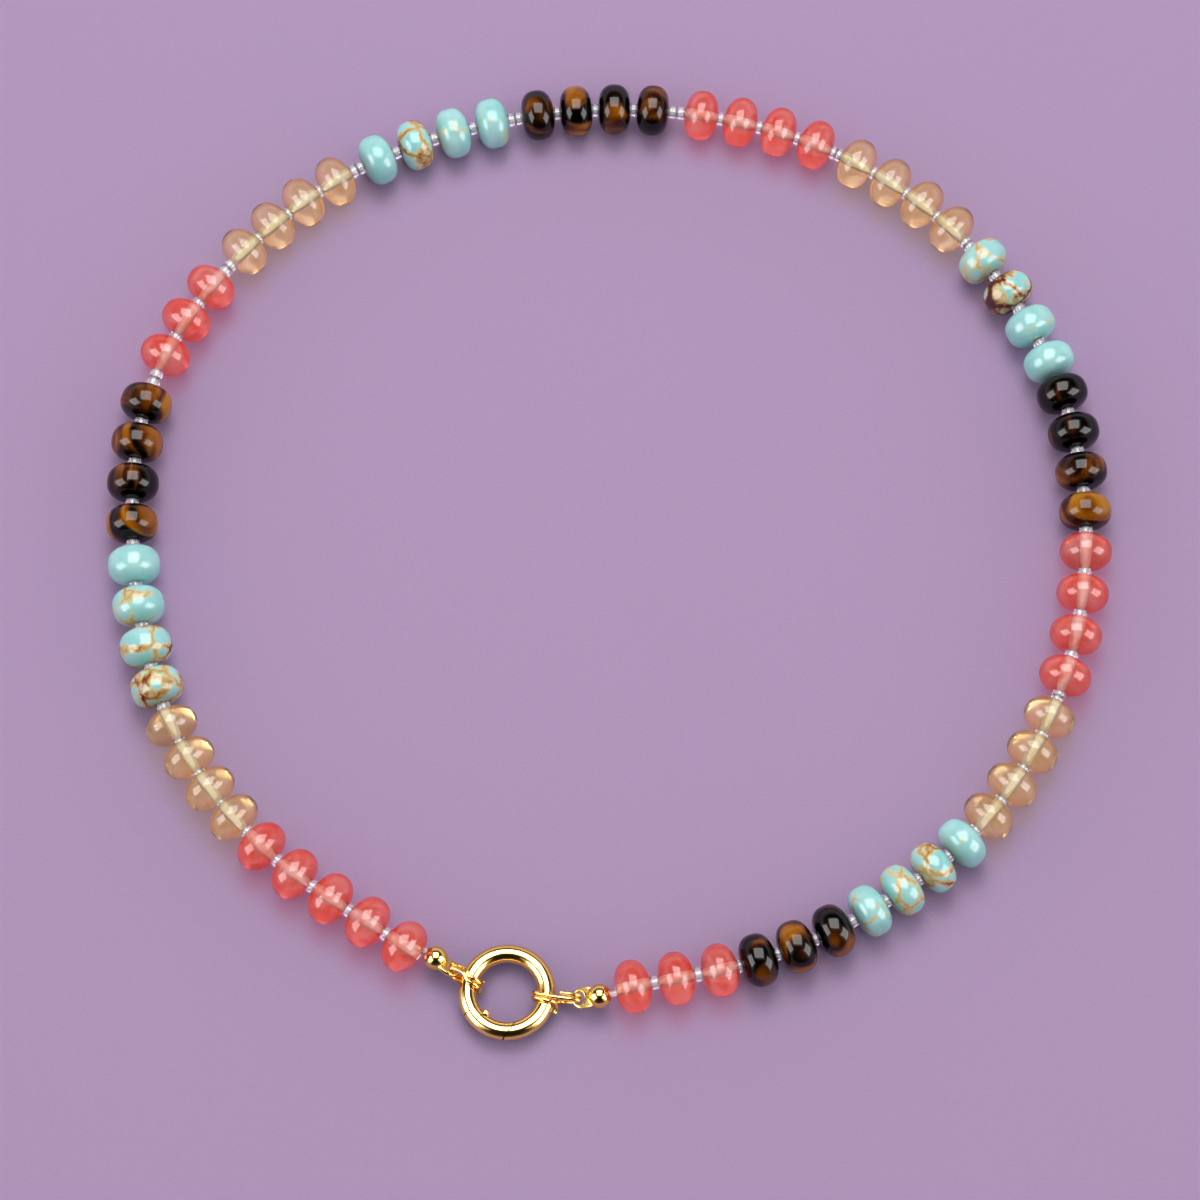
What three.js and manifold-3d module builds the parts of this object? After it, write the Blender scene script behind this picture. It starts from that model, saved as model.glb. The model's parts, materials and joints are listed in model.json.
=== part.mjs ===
// A beaded gemstone necklace that lies in one round loop on the plane z = 0.
// Rondelle beads in seventeen colour runs sit on one thread, with seed-bead spacers between them.
// Each thread end is closed by a gold ball with a drilled tab, and two double-wound wire links
// hang the balls on a round ring clasp whose gate swings inwards. Millimetres, +Z up.
import * as THREE from "three";
import { mergeVertices } from "three/addons/utils/BufferGeometryUtils.js";
import Module from "manifold-3d";

const wasm = await Module();
wasm.setup();

// ---- Driving dimensions ----

const BEAD_DIAMETER = 8;
const BEAD_SIDES = 12; // a flat side faces down, so that every bead rests on z = 0
const SPACER_RADIUS = 1.1;
const PIECE_GAP = 0.35; // between two solids that touch on the real necklace

const RING_RADIUS = 5.85; // to the middle of the tube
const TUBE_RADIUS = 1.35;
const RING_HEIGHT = 2.45; // the links under the tube hold the ring off the surface
const SEAM = 0.15; // clearance round the gate
const WIRE_RADIUS = 0.31;
const WIRE_PITCH = 0.7; // from one turn of a link to the next
const BALL_RADIUS = 1.8;

// ---- Materials ----

const stones = {
  coral: { color: 0xe8685c, roughness: 0.12, metalness: 0 },
  citrine: { color: 0xe6c48c, roughness: 0.08, metalness: 0 },
  turquoise: { color: 0x86d2c8, roughness: 0.22, metalness: 0 },
  tigers_eye: { color: 0x4a2a12, roughness: 0.18, metalness: 0 },
};
const gold = { color: 0xf0c050, roughness: 0.15, metalness: 1 };

// ---- The strand ----

// The thread's way round the loop, from the clasp's left side clockwise, at the beads' middle height.
const thread = new THREE.CatmullRomCurve3(
  [
    { x: -30.1, y: -63.8 },
    { x: -51.6, y: -48.4 },
    { x: -65.6, y: -29.6 },
    { x: -72.3, y: -3.9 },
    { x: -71.5, y: 22.8 },
    { x: -62.2, y: 42.4 },
    { x: -43.0, y: 60.9 },
    { x: -18.4, y: 71.0 },
    { x: 7.1, y: 73.3 },
    { x: 33.1, y: 67.1 },
    { x: 54.0, y: 52.5 },
    { x: 68.4, y: 29.9 },
    { x: 73.0, y: 4.8 },
    { x: 68.8, y: -21.9 },
    { x: 56.5, y: -43.8 },
    { x: 38.5, y: -58.4 },
    { x: 21.9, y: -65.9 },
    { x: 3.0, y: -70.0 },
  ].map(({ x, y }) => new THREE.Vector3(x, y, BEAD_DIAMETER / 2)),
  false,
  "centripetal",
);
thread.arcLengthDivisions = 2000;

// thickness is a bead's length along the thread, pitch the distance between the middles of
// neighbours in the run, and toNext the distance from its last middle to the next run's first.
const runs = [
  { stone: "coral", beads: 5, thickness: 5.4, pitch: 6.6, toNext: 6.2 },
  { stone: "citrine", beads: 4, thickness: 5.1, pitch: 5.8, toNext: 6.6 },
  { stone: "turquoise", beads: 4, thickness: 5.6, pitch: 6.7, toNext: 6.8 },
  { stone: "tigers_eye", beads: 4, thickness: 5.5, pitch: 6.7, toNext: 8.5 },
  { stone: "coral", beads: 3, thickness: 5.5, pitch: 6.7, toNext: 8.0 },
  { stone: "citrine", beads: 4, thickness: 5.3, pitch: 6.2, toNext: 7.6 },
  { stone: "turquoise", beads: 4, thickness: 5.0, pitch: 6.4, toNext: 7.4 },
  { stone: "tigers_eye", beads: 4, thickness: 5.1, pitch: 6.1, toNext: 7.8 },
  { stone: "coral", beads: 4, thickness: 5.2, pitch: 6.3, toNext: 7.2 },
  { stone: "citrine", beads: 4, thickness: 5.3, pitch: 6.2, toNext: 7.3 },
  { stone: "turquoise", beads: 4, thickness: 5.2, pitch: 6.6, toNext: 5.7 },
  { stone: "tigers_eye", beads: 4, thickness: 5.3, pitch: 6.6, toNext: 6.6 },
  { stone: "coral", beads: 4, thickness: 5.4, pitch: 6.8, toNext: 7.1 },
  { stone: "citrine", beads: 4, thickness: 5.2, pitch: 6.1, toNext: 5.9 },
  { stone: "turquoise", beads: 4, thickness: 4.8, pitch: 5.8, toNext: 6.2 },
  { stone: "tigers_eye", beads: 3, thickness: 5.2, pitch: 6.0, toNext: 5.9 },
  { stone: "coral", beads: 3, thickness: 5.2, pitch: 6.5, toNext: 3.3 },
];

// A bead's outline from its hole to its belly: along is a share of half its thickness.
const beadOutline = [
  { along: 1, radius: SPACER_RADIUS },
  { along: 0.88, radius: 2.9 },
  { along: 0.36, radius: BEAD_DIAMETER / 2 },
];

// Puts a shape turned about its own Y axis on the thread. Each bead stays square to its own
// stretch of thread, so a point goes with the bead whose middle is nearest.
function layOnThread(geometry, middles) {
  const position = geometry.attributes.position;
  const length = thread.getLength();
  const point = new THREE.Vector3();
  for (let i = 0; i < position.count; i++) {
    const along = position.getY(i);
    const middle = middles.reduce((best, m) =>
      Math.abs(m - along) < Math.abs(best - along) ? m : best,
    );
    const ahead = thread.getTangentAt(middle / length);
    const side = new THREE.Vector3(ahead.y, -ahead.x, 0);
    point.copy(thread.getPointAt(middle / length));
    point.addScaledVector(ahead, along - middle);
    point.addScaledVector(side, position.getX(i));
    point.z += position.getZ(i);
    position.setXYZ(i, point.x, point.y, point.z);
  }
}

// One run of beads with the spacers between them and the one that follows the last bead.
function beadRun(run, start, nextFace) {
  const middles = Array.from({ length: run.beads }, (_, k) => start + k * run.pitch);
  const half = run.thickness / 2;
  const outline = [new THREE.Vector2(0, start - half)];
  for (const middle of middles) {
    for (const { along, radius } of beadOutline) {
      outline.push(new THREE.Vector2(radius, middle - along * half));
    }
    for (const { along, radius } of beadOutline.toReversed()) {
      outline.push(new THREE.Vector2(radius, middle + along * half));
    }
  }
  outline.push(new THREE.Vector2(SPACER_RADIUS, nextFace - PIECE_GAP));
  outline.push(new THREE.Vector2(0, nextFace - PIECE_GAP));
  const flatToCorner = 1 / Math.cos(Math.PI / BEAD_SIDES);
  for (const corner of outline) {
    corner.x *= flatToCorner;
  }
  const geometry = new THREE.LatheGeometry(outline, BEAD_SIDES, Math.PI / BEAD_SIDES);
  layOnThread(geometry, middles);
  return geometry;
}

function makeStrand() {
  const strand = new THREE.Group();
  const made = {};
  let start = 0;
  runs.forEach((run, k) => {
    const last = start + (run.beads - 1) * run.pitch;
    const next = last + run.toNext;
    const nextHalf = k + 1 < runs.length ? runs[k + 1].thickness / 2 : 0;
    made[run.stone] = (made[run.stone] ?? 0) + 1;
    const name = `${run.stone}_beads_${made[run.stone]}`;
    strand.add(named(name, beadRun(run, start, next - nextHalf), stones[run.stone]));
    start = next;
  });
  return strand;
}

// ---- Joining and cutting ----

function toSolid(geometry) {
  const bare = geometry.clone();
  bare.deleteAttribute("normal");
  bare.deleteAttribute("uv");
  const merged = mergeVertices(bare, 1e-4);
  return new wasm.Manifold(
    new wasm.Mesh({
      numProp: 3,
      vertProperties: merged.attributes.position.array,
      triVerts: new Uint32Array(merged.index.array),
    }),
  );
}

function toGeometry(solid) {
  const mesh = solid.getMesh();
  const geometry = new THREE.BufferGeometry();
  geometry.setAttribute("position", new THREE.BufferAttribute(mesh.vertProperties, 3));
  geometry.setIndex(new THREE.BufferAttribute(mesh.triVerts, 1));
  geometry.computeVertexNormals();
  return geometry;
}

function named(name, geometry, look) {
  const mesh = new THREE.Mesh(geometry, new THREE.MeshStandardMaterial(look));
  mesh.name = name;
  return mesh;
}

// ---- The ring clasp, in its own frame: the ring's centre is the origin, its axis +Z ----

const degrees = THREE.MathUtils.degToRad;
const gate = {
  tongueAngle: 208.5, // where the outer half of the gate's hinge end begins
  hingeAngle: 224.5, // where its inner half begins
  pastTip: 330, // an angle beyond the tip
  lapRadius: 6.15, // between the two halves
  pivotAngle: 225.7,
  pivotRadius: 4.44, // the pin stands at the tube's inner edge, so that the gate can swing inwards
  reach: 4.8, // from the pin to the tip at the tube's middle height
  roundOff: 0.3, // how much shorter the reach is at the top and bottom of the tube
};
const hinge = { pin: 0.18, bore: 0.3, knuckle: 0.5, knuckleHalf: 0.3, earTop: 0.85 };
const pivot = new THREE.Vector3(
  gate.pivotRadius * Math.cos(degrees(gate.pivotAngle)),
  gate.pivotRadius * Math.sin(degrees(gate.pivotAngle)),
  0,
);
const CLEAR_RADIUS = 9; // outside the ring
const CLEAR_HEIGHT = 4;

// The plan of the gate, a stepped sector whose sides stand clear by a given amount.
function gateZone(clear) {
  const turn = clear / RING_RADIUS;
  const tongue = degrees(gate.tongueAngle) + turn;
  const hingeEnd = degrees(gate.hingeAngle) + turn;
  const far = degrees(gate.pastTip);
  const shape = new THREE.Shape();
  shape.moveTo(Math.cos(hingeEnd), Math.sin(hingeEnd));
  shape.absarc(0, 0, gate.lapRadius + clear, hingeEnd, tongue, true);
  shape.absarc(0, 0, CLEAR_RADIUS, tongue, far, false);
  shape.lineTo(Math.cos(far), Math.sin(far));
  shape.closePath();
  const zone = new THREE.ExtrudeGeometry(shape, {
    depth: CLEAR_HEIGHT,
    bevelEnabled: false,
    curveSegments: 24,
  });
  return toSolid(zone.translate(0, 0, -CLEAR_HEIGHT / 2));
}

// All that lies within the gate's reach of its pin, rounded off towards the tube's top and bottom.
function reachZone(clear) {
  const outline = [new THREE.Vector2(0, -CLEAR_HEIGHT / 2)];
  for (const share of [-1, -0.7, -0.35, 0, 0.35, 0.7, 1]) {
    const radius = gate.reach + clear - gate.roundOff * share * share;
    outline.push(new THREE.Vector2(radius, share * TUBE_RADIUS));
  }
  outline.push(new THREE.Vector2(0, CLEAR_HEIGHT / 2));
  const barrel = new THREE.LatheGeometry(outline, 72).rotateX(Math.PI / 2);
  return toSolid(barrel.translate(pivot.x, pivot.y, 0));
}

// An upright round post at the pin, from one height to another.
function postAtPin(radius, low, high) {
  const post = new THREE.CylinderGeometry(radius, radius, high - low, 12);
  post.rotateX(Math.PI / 2);
  return toSolid(post.translate(pivot.x, pivot.y, (low + high) / 2));
}

function ringTube() {
  return toSolid(new THREE.TorusGeometry(RING_RADIUS, TUBE_RADIUS, 14, 60));
}

// The fixed part of the ring: two ears and the pin that the gate's knuckle turns on.
function claspRing() {
  const { pin, knuckle, knuckleHalf, earTop } = hinge;
  const room = postAtPin(knuckle + SEAM, -knuckleHalf - SEAM, knuckleHalf + SEAM);
  const opening = gateZone(0).intersect(reachZone(0));
  const ears = postAtPin(knuckle, -earTop, earTop);
  return toGeometry(
    ringTube().subtract(opening).add(ears).subtract(room).add(postAtPin(pin, -earTop, earTop)),
  );
}

// The gate: its knuckle sits between the ears, and its tip is rounded to swing clear of the ring.
function claspGate() {
  const { bore, knuckle, knuckleHalf } = hinge;
  const blank = ringTube().intersect(gateZone(SEAM)).intersect(reachZone(-SEAM));
  const earRoom = postAtPin(knuckle + SEAM, knuckleHalf, CLEAR_HEIGHT).add(
    postAtPin(knuckle + SEAM, -CLEAR_HEIGHT, -knuckleHalf),
  );
  return toGeometry(
    blank
      .add(postAtPin(knuckle, -knuckleHalf, knuckleHalf))
      .subtract(earRoom)
      .subtract(postAtPin(bore, -CLEAR_HEIGHT, CLEAR_HEIGHT)),
  );
}

// ---- The ends ----

const tab = { root: 0.9, rootHalfWidth: 1.5, middle: 2.4, radius: 1.65, thickness: 0.6 };
const eye = { middle: 2.95, halfLength: 0.78, halfWidth: 1.05 };

// A ball whose drilled tab points along +X, in the ball's own frame.
function endBall() {
  const plate = new THREE.Shape();
  plate.moveTo(tab.root, -tab.rootHalfWidth);
  plate.absarc(tab.middle, 0, tab.radius, -Math.PI / 2, Math.PI / 2, false);
  plate.lineTo(tab.root, tab.rootHalfWidth);
  plate.closePath();
  const hole = new THREE.Path();
  hole.absellipse(eye.middle, 0, eye.halfLength, eye.halfWidth, 0, 2 * Math.PI, true);
  plate.holes.push(hole);
  const flat = new THREE.ExtrudeGeometry(plate, {
    depth: tab.thickness,
    bevelEnabled: false,
    curveSegments: 10,
  });
  flat.translate(0, 0, -tab.thickness / 2);
  const ball = new THREE.SphereGeometry(BALL_RADIUS, 16, 12);
  return toGeometry(toSolid(ball).add(toSolid(flat)));
}

// The way of a link's wire in (along, side, up) from the middle of the ring's tube. One turn is a
// belt of two arcs, round the tube and through the eye. Each time the wire crosses over the tube
// it moves sideways by one wire pitch, so that the turns lie side by side. The belt is twisted
// about its length, from its lean at the tube to its lean in the eye, and rises towards the eye.
function linkPath(link) {
  const { around, tubeShift, eyeReach, eyeRise, eyeRadius } = link.belt;
  const eyeMiddle = eyeReach - eyeRadius;
  const leave = Math.acos((around - eyeRadius) / (eyeMiddle - tubeShift));
  const tubeSteps = 8;
  const eyeSteps = 4;
  const belt = [];
  for (let k = 0; k <= tubeSteps; k++) {
    const angle = leave + (k / tubeSteps) * 2 * (Math.PI - leave);
    belt.push([tubeShift + around * Math.cos(angle), around * Math.sin(angle)]);
  }
  for (let k = 0; k <= eyeSteps; k++) {
    const angle = -leave + (k / eyeSteps) * 2 * leave;
    belt.push([eyeMiddle + eyeRadius * Math.cos(angle), eyeRadius * Math.sin(angle)]);
  }
  const overTube = tubeSteps / 2; // belt points 0 to 4 lead from the tube's top to its inner side
  const points = link.firstEnd.map((point) => new THREE.Vector3(...point));
  let at = link.startsAt;
  let crossed = 0;
  for (let k = 0; k <= link.steps; k++) {
    const [along, up] = belt[at];
    const share = Math.max(along, 0) / eyeReach;
    const lean = degrees(link.tubeLean + share * (link.eyeLean - link.tubeLean));
    const point = new THREE.Vector3(along, link.drift * WIRE_PITCH * (crossed - 0.5), up);
    point.applyAxisAngle(new THREE.Vector3(1, 0, 0), lean);
    point.z += share * eyeRise;
    points.push(point);
    const next = (at + link.sense + belt.length) % belt.length;
    if (at <= overTube && next <= overTube) {
      crossed += 1 / overTube;
    }
    at = next;
  }
  points.push(...link.lastEnd.map((point) => new THREE.Vector3(...point)));
  return new THREE.CatmullRomCurve3(points, false, "centripetal");
}

function wireAlong(path) {
  const section = new THREE.Shape();
  section.absarc(0, 0, WIRE_RADIUS, 0, 2 * Math.PI, false);
  return new THREE.ExtrudeGeometry(section, { steps: 60, extrudePath: path, curveSegments: 4 });
}

// tubeAngle is where a link crosses the ring and heading its direction away from the ring. The
// leans are turns about that direction, and the ends are points in (along, side, up).
const links = [
  {
    name: "link_left",
    tubeAngle: 159,
    heading: 156.4,
    tubeLean: -8,
    eyeLean: 47,
    belt: { around: 2.05, tubeShift: -0.05, eyeReach: 3.06, eyeRise: 0.4, eyeRadius: 0.9 },
    firstEnd: [],
    startsAt: 4,
    sense: 1,
    steps: 28,
    drift: 1,
    lastEnd: [
      [-2.1, 1.2, -0.35],
      [-2.15, 1.35, -0.75],
    ],
  },
  {
    name: "link_right",
    tubeAngle: -5.9,
    heading: -5.8,
    tubeLean: 0,
    eyeLean: 0,
    belt: { around: 1.87, tubeShift: -0.2, eyeReach: 4.85, eyeRise: 0.4, eyeRadius: 0.92 },
    firstEnd: [[1.9, 0.35, 1.7]],
    startsAt: 13,
    sense: -1,
    steps: 27,
    drift: -1,
    lastEnd: [
      [1.05, -1.1, 1.55],
      [1.5, -1.25, 1.0],
      [1.62, -1.6, 0.35],
      [1.5, -2.1, -0.05],
      [1.42, -2.5, -0.15],
    ],
  },
];

// The balls' places from the ring's centre. yaw is the way the tab points, pitch its way down and
// roll its turn about its own length.
const endBalls = [
  { name: "end_ball_left", x: -10.52, y: 4.92, z: 0.97, yaw: -34, pitch: 12, roll: -42 },
  { name: "end_ball_right", x: 13.55, y: -0.82, z: 1.1, yaw: 185, pitch: 12, roll: 0 },
];

function makeClasp() {
  const clasp = new THREE.Group();
  clasp.add(named("clasp_ring", claspRing(), gold));
  clasp.add(named("clasp_gate", claspGate(), gold));
  for (const link of links) {
    const mesh = named(link.name, wireAlong(linkPath(link)), gold);
    const angle = degrees(link.tubeAngle);
    mesh.position.set(RING_RADIUS * Math.cos(angle), RING_RADIUS * Math.sin(angle), 0);
    mesh.rotation.z = degrees(link.heading);
    clasp.add(mesh);
  }
  for (const { name, x, y, z, yaw, pitch, roll } of endBalls) {
    const mesh = named(name, endBall(), gold);
    mesh.position.set(x, y, z);
    mesh.rotation.set(degrees(roll), degrees(pitch), degrees(yaw), "ZYX");
    clasp.add(mesh);
  }
  return clasp;
}

// ---- The whole necklace ----

const necklace = new THREE.Group();
const clasp = makeClasp();
clasp.position.set(-14.94, -70.34, RING_HEIGHT);
necklace.add(makeStrand(), clasp);

// The origin is the middle of the necklace's outline, on the surface it lies on.
const extent = new THREE.Box3().setFromObject(necklace, true);
const middle = extent.getCenter(new THREE.Vector3());
necklace.position.set(-middle.x, -middle.y, -extent.min.z);

export default necklace;
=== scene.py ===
# Beaded gemstone strand necklace, lying in a loop on a plain lilac surface. Polished rondelles of
# coral glass, citrine, turquoise and tiger's eye are strung on clear cord, with clear glass seed
# beads between them, and closed with a gold push-gate ring clasp.
#
# Pieces are modelled in millimetres at the origin, then set in their place in metres.
import bisect
import json
import math
import random

import bmesh
import bpy
from mathutils import Matrix, Vector


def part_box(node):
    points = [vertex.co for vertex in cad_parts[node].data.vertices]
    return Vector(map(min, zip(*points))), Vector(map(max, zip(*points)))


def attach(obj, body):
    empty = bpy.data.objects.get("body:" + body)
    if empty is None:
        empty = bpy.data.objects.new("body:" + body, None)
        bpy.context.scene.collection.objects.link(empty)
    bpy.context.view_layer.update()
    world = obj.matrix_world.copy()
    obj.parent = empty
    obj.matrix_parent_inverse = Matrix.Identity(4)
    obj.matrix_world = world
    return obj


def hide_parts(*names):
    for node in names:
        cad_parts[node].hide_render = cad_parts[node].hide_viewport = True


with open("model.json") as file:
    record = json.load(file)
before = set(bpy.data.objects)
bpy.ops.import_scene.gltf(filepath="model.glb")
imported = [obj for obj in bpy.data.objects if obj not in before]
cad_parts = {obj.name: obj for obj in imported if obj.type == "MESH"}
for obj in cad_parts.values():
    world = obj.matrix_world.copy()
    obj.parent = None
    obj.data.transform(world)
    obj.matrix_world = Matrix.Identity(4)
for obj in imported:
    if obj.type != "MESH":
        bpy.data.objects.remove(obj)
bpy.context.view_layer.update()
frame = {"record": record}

MILLIMETRE = 0.001
chance = random.Random(11)


# ---- The camera, in front of the necklace and 70 degrees up ----

LOOKS_AT = Vector((-0.0012985, -0.0080779, 0.0))
CAMERA_DISTANCE = 0.6
CAMERA_TILT = math.radians(20)
FOCAL_LENGTH = 117.69


def add_camera():
    camera = bpy.data.objects.new("camera", bpy.data.cameras.new("camera"))
    bpy.context.collection.objects.link(camera)
    towards = Vector((0, -math.sin(CAMERA_TILT), math.cos(CAMERA_TILT)))
    camera.location = LOOKS_AT + CAMERA_DISTANCE * towards
    camera.rotation_euler = (CAMERA_TILT, 0, 0)
    camera.data.lens = FOCAL_LENGTH
    camera.data.clip_start = 0.01
    bpy.context.scene.camera = camera


# ---- Materials ----


def linear(hex_colour):
    """An sRGB hex value as a linear colour."""
    parts = [int(hex_colour[k : k + 2], 16) / 255 for k in (1, 3, 5)]
    return [c / 12.92 if c <= 0.04045 else ((c + 0.055) / 1.055) ** 2.4 for c in parts] + [1.0]


WHITE = linear("#FFFFFF")


def add_node(tree, kind, inputs=None, stops=None, **settings):
    """Adds a node with its settings and colour stops. Each input is set to a value, or linked
    from a socket or from a node's first output."""
    node = tree.nodes.new(kind)
    for name, value in settings.items():
        setattr(node, name, value)
    if stops:
        ramp = node.color_ramp
        while len(ramp.elements) < len(stops):
            ramp.elements.new(1.0)
        for element, (position, colour) in zip(ramp.elements, stops):
            element.position = position
            element.color = linear(colour)
    for name, value in (inputs or {}).items():
        if isinstance(value, bpy.types.Node):
            value = value.outputs[0]
        if isinstance(value, bpy.types.NodeSocket):
            tree.links.new(value, node.inputs[name])
        else:
            node.inputs[name].default_value = value
    return node


def new_material(name):
    material = bpy.data.materials.new(name)
    material.use_nodes = True
    material.node_tree.nodes.clear()
    return material, material.node_tree


def pass_lamp_light(tree, shader, hex_colour):
    """Lets a lamp's light through glass, instead of a black shadow behind it. What lies under the
    glass gets it in the glass's colour, and a bore inside gets it white."""
    path = add_node(tree, "ShaderNodeLightPath")
    side = add_node(tree, "ShaderNodeNewGeometry")
    tint = add_node(
        tree,
        "ShaderNodeMix",
        {0: side.outputs["Backfacing"], 6: linear(hex_colour), 7: WHITE},
        data_type="RGBA",
    )
    clear = add_node(tree, "ShaderNodeBsdfTransparent", {"Color": tint.outputs[2]})
    return add_node(
        tree, "ShaderNodeMixShader", {0: path.outputs["Is Shadow Ray"], 1: shader, 2: clear}
    )


def deepen_rim(tree, tone, hex_colour, start):
    """Turns a clear stone's colour to a deeper one at its rim, where one looks through more of
    it, from start, a share of the way from facing the eye to grazing."""
    graze = add_node(tree, "ShaderNodeLayerWeight", {"Blend": 0.5})
    edge = add_node(
        tree,
        "ShaderNodeMapRange",
        {"Value": graze.outputs["Facing"], "From Min": start, "From Max": 0.85},
    )
    rim = add_node(
        tree, "ShaderNodeMix", {0: edge, 6: tone, 7: linear(hex_colour)}, data_type="RGBA"
    )
    return rim.outputs[2]


def polished_gold_plate():
    """Brass plated with yellow gold and tumble polished: a mirror that is a little soft, with the
    faint waviness that tumbling leaves and hairline scratches."""
    material, tree = new_material("polished_gold_plate")
    place = add_node(tree, "ShaderNodeTexCoord").outputs["Object"]
    # Waves about 1.2 mm long, and scratches about 0.05 mm wide that are drawn 0.15 mm wide.
    waves = add_node(
        tree,
        "ShaderNodeTexNoise",
        {"Vector": place, "Scale": 850.0, "Detail": 1.0, "Roughness": 0.4},
    )
    hairlines = add_node(
        tree,
        "ShaderNodeTexNoise",
        {"Vector": place, "Scale": 6500.0, "Detail": 3.0, "Roughness": 0.7},
    )
    tone = add_node(
        tree, "ShaderNodeValToRGB", {"Fac": waves}, stops=[(0.3, "#FFCF72"), (0.7, "#FFD980")]
    )
    softness = add_node(
        tree,
        "ShaderNodeMapRange",
        {"Value": hairlines, "From Min": 0.3, "From Max": 0.75, "To Min": 0.06, "To Max": 0.13},
    )
    wavy = add_node(tree, "ShaderNodeBump", {"Height": waves, "Strength": 0.12, "Distance": 0.0001})
    shader = add_node(
        tree,
        "ShaderNodeBsdfPrincipled",
        {"Base Color": tone, "Metallic": 1.0, "Roughness": softness, "Normal": wavy},
    )
    add_node(tree, "ShaderNodeOutputMaterial", {"Surface": shader})
    return material


def sawn_brass_painted_shade():
    """Brass where the clasp's seams were sawn after plating: unpolished and dull, and painted
    near-black brown as painted shade in the narrow seams, with saw marks about 0.2 mm apart."""
    material, tree = new_material("sawn_brass_painted_shade")
    place = add_node(tree, "ShaderNodeTexCoord").outputs["Object"]
    marks = add_node(
        tree,
        "ShaderNodeTexNoise",
        {"Vector": place, "Scale": 5000.0, "Detail": 2.0, "Roughness": 0.5},
    )
    # Painted shade: near-black browns for the shade in the narrow seams.
    tone = add_node(
        tree, "ShaderNodeValToRGB", {"Fac": marks}, stops=[(0.3, "#2E1A08"), (0.7, "#5A3A14")]
    )
    rough = add_node(
        tree, "ShaderNodeBump", {"Height": marks, "Strength": 0.3, "Distance": 0.00005}
    )
    shader = add_node(
        tree,
        "ShaderNodeBsdfPrincipled",
        {"Base Color": tone, "Metallic": 1.0, "Roughness": 0.5, "Normal": rough},
    )
    add_node(tree, "ShaderNodeOutputMaterial", {"Surface": shader})
    return material


def clear_stone(name, clouds, stops, rim, waves, wave_strength, gloss, ior, clear, depth, light):
    """A clear stone, clouded inside, whose polished surface is slightly uneven. Its colour is
    deeper at its rim and where one looks through more of it."""
    material, tree = new_material(name)
    place = add_node(tree, "ShaderNodeAttribute", attribute_name="stone_place").outputs["Vector"]
    noises = {
        "clouds": add_node(tree, "ShaderNodeTexNoise", {"Vector": place, **clouds}),
        "waves": add_node(tree, "ShaderNodeTexNoise", {"Vector": place, **waves}),
    }
    tone = add_node(tree, "ShaderNodeValToRGB", {"Fac": noises["clouds"]}, stops=stops)
    dulled_by, dull_range = gloss
    dulled = add_node(tree, "ShaderNodeMapRange", {"Value": noises[dulled_by], **dull_range})
    bump = add_node(
        tree,
        "ShaderNodeBump",
        {"Height": noises["waves"], "Strength": wave_strength, "Distance": 0.0002},
    )
    shader = add_node(
        tree,
        "ShaderNodeBsdfPrincipled",
        {
            "Base Color": deepen_rim(tree, tone, *rim),
            "Roughness": dulled,
            "IOR": ior,
            "Transmission Weight": clear,
            "Normal": bump,
        },
    )
    depth_colour, density = depth
    deep = add_node(
        tree, "ShaderNodeVolumeAbsorption", {"Color": linear(depth_colour), "Density": density}
    )
    surface = pass_lamp_light(tree, shader, light)
    add_node(tree, "ShaderNodeOutputMaterial", {"Surface": surface, "Volume": deep})
    return material


def coral_glass():
    """Salmon-red glass, cast and tumbled to a wet gloss. It is clear enough to see the bore and a
    little milky, with faint clouds of deeper red."""
    # Clouds about 3 mm across, and a tumbled surface, uneven about every millimetre.
    return clear_stone(
        "coral_glass",
        clouds={"Scale": 0.35, "Detail": 3.0, "Roughness": 0.55, "Distortion": 0.8},
        stops=[(0.38, "#FF6C54"), (0.5, "#FF8A76"), (0.62, "#FFA698")],
        rim=("#FF482C", 0.4),
        waves={"Scale": 0.9, "Detail": 2.0, "Roughness": 0.5},
        wave_strength=0.08,
        gloss=("waves", {"From Min": 0.3, "From Max": 0.7, "To Max": 0.02}),
        ior=1.52,
        clear=0.7,
        depth=("#FF8E6C", 14.0),
        light="#F29AA6",
    )


def citrine_crystal():
    """Pale champagne citrine, cut and polished: clear as glass, amber at its rim and where it is
    looked through at length, with a few faint veils."""
    # Veils about 4 mm across.
    return clear_stone(
        "citrine_crystal",
        clouds={"Scale": 0.28, "Detail": 4.0, "Roughness": 0.6, "Distortion": 1.4},
        stops=[(0.36, "#F4D898"), (0.5, "#FAEABE"), (0.64, "#FCF4DC")],
        rim=("#D07C0C", 0.35),
        waves={"Scale": 0.7, "Detail": 1.0, "Roughness": 0.5},
        wave_strength=0.1,
        gloss=("clouds", {"From Min": 0.35, "From Max": 0.75, "To Max": 0.015}),
        ior=1.54,
        clear=0.94,
        depth=("#FFE470", 44.0),
        light="#F4F0C8",
    )


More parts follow.
